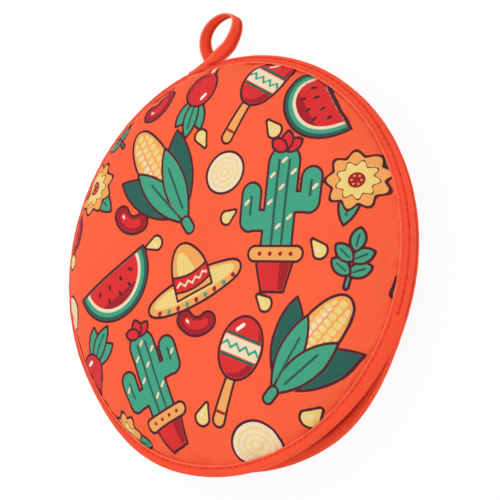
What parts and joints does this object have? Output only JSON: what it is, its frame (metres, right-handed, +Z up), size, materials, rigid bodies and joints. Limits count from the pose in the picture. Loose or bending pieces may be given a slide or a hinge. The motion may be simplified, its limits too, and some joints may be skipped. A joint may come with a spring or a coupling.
{
  "type": "tortilla warmer",
  "caption": "Round padded fabric pouch that keeps flatbreads warm: two bound discs sewn together around the back, open along the front, with a hanging loop.",
  "frame": {"origin": "centre of the round panels, on the table under the back panel", "axes": "+Z up through the printed front panel, +Y from the mouth to the hanging loop, +X to the right when the front is seen with the loop on top"},
  "size_m": [0.305, 0.3414, 0.055],
  "materials": {
    "printed_cover": "smooth woven polyester, orange ground with a printed pattern of food motifs, soft low sheen",
    "binding_tape": "satin woven binding tape, red orange, soft sheen along the fold",
    "batting": "white needled fibre wadding",
    "lining_cloth": "plain orange lining cloth, matt fine weave",
    "thread": "red orange sewing thread, slight gloss"
  },
  "bodies": {
    "pouch": {"back_cover": "printed_cover", "back_batting": "batting", "back_lining": "lining_cloth", "back_binding": "binding_tape", "back_binding_thread": "thread", "front_cover": "printed_cover", "front_batting": "batting", "front_lining": "lining_cloth", "front_binding": "binding_tape", "front_binding_thread": "thread", "joining_seam": "thread", "loop_bar_tack": "thread"},
    "mouth_flap": {"front_cover_flap": "printed_cover", "front_batting_flap": "batting", "front_lining_flap": "lining_cloth", "front_binding_flap": "binding_tape", "front_binding_flap_thread": "thread"},
    "loop": {"hanging_loop": "binding_tape"}
  },
  "joints": [
    {"name": "mouth_open", "type": "hinge", "parent": "pouch", "child": "mouth_flap", "pos_m": [0, -0.06804, 0.05529], "axis": [-1, 0, 0], "range_deg": [0, 40]},
    {"name": "loop_swing", "type": "hinge", "parent": "pouch", "child": "loop", "pos_m": [0, 0.15455, 0.026], "axis": [1, 0, 0], "range_deg": [-30, 90]}
  ]
}
